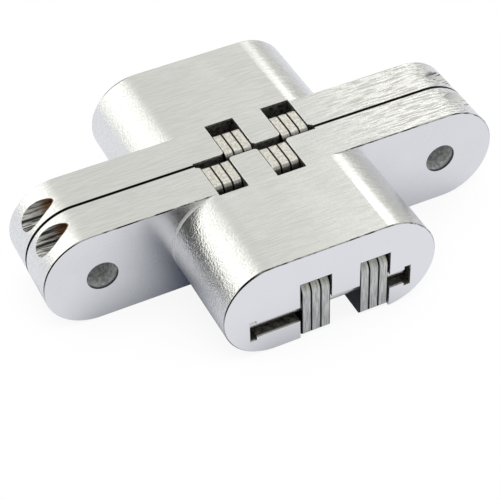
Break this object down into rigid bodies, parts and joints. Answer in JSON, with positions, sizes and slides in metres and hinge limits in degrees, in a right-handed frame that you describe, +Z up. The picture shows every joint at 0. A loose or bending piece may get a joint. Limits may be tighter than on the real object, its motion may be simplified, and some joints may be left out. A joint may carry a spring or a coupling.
{
  "type": "concealed hinge",
  "caption": "Concealed hinge for a mortise: round-ended wings, deep blocks behind them, and crossed stamped links that fold away when closed.",
  "frame": {"origin": "centre of the closed hinge's box, on the parting plane", "axes": "+X along the wings, +Y across the parting plane into the back half, +Z up to the knuckle side"},
  "size_m": [0.06, 0.0398, 0.013],
  "materials": {
    "casting": "satin-plated zinc die casting",
    "link": "stamped steel, plated, with a fine sheared edge",
    "pin": "drawn steel rod, plated"
  },
  "bodies": {
    "back_half": {"back_body": "casting", "back_pivot_pin": "pin"},
    "back_links": {"back_link_1": "link", "back_link_2": "link", "back_link_3": "link", "back_link_4": "link", "back_link_5": "link", "back_link_6": "link", "centre_pin": "pin", "front_slide_pin": "pin"},
    "front_links": {"front_link_1": "link", "front_link_2": "link", "front_link_3": "link", "front_link_4": "link", "front_link_5": "link", "front_link_6": "link", "back_slide_pin": "pin"},
    "front_half": {"front_body": "casting", "front_pivot_pin": "pin"}
  },
  "joints": [
    {"name": "back_pivot", "type": "hinge", "parent": "back_half", "child": "back_links", "pos_m": [0, 0.0024, 0.0048], "axis": [-1, 0, 0], "range_deg": [0, 127.66]},
    {"name": "centre_pivot", "type": "hinge", "parent": "back_links", "child": "front_links", "pos_m": [0, 0, -0.0025], "axis": [1, 0, 0], "range_deg": [0, 75.32]},
    {"name": "front_pivot", "type": "hinge", "parent": "front_links", "child": "front_half", "pos_m": [0, -0.0024, 0.0048], "axis": [-1, 0, 0], "range_deg": [0, 127.66]}
  ],
  "couplings": [
    {"joint": "centre_pivot", "follows": "back_pivot", "ratio": 0.59},
    {"joint": "front_pivot", "follows": "back_pivot", "ratio": 1}
  ]
}
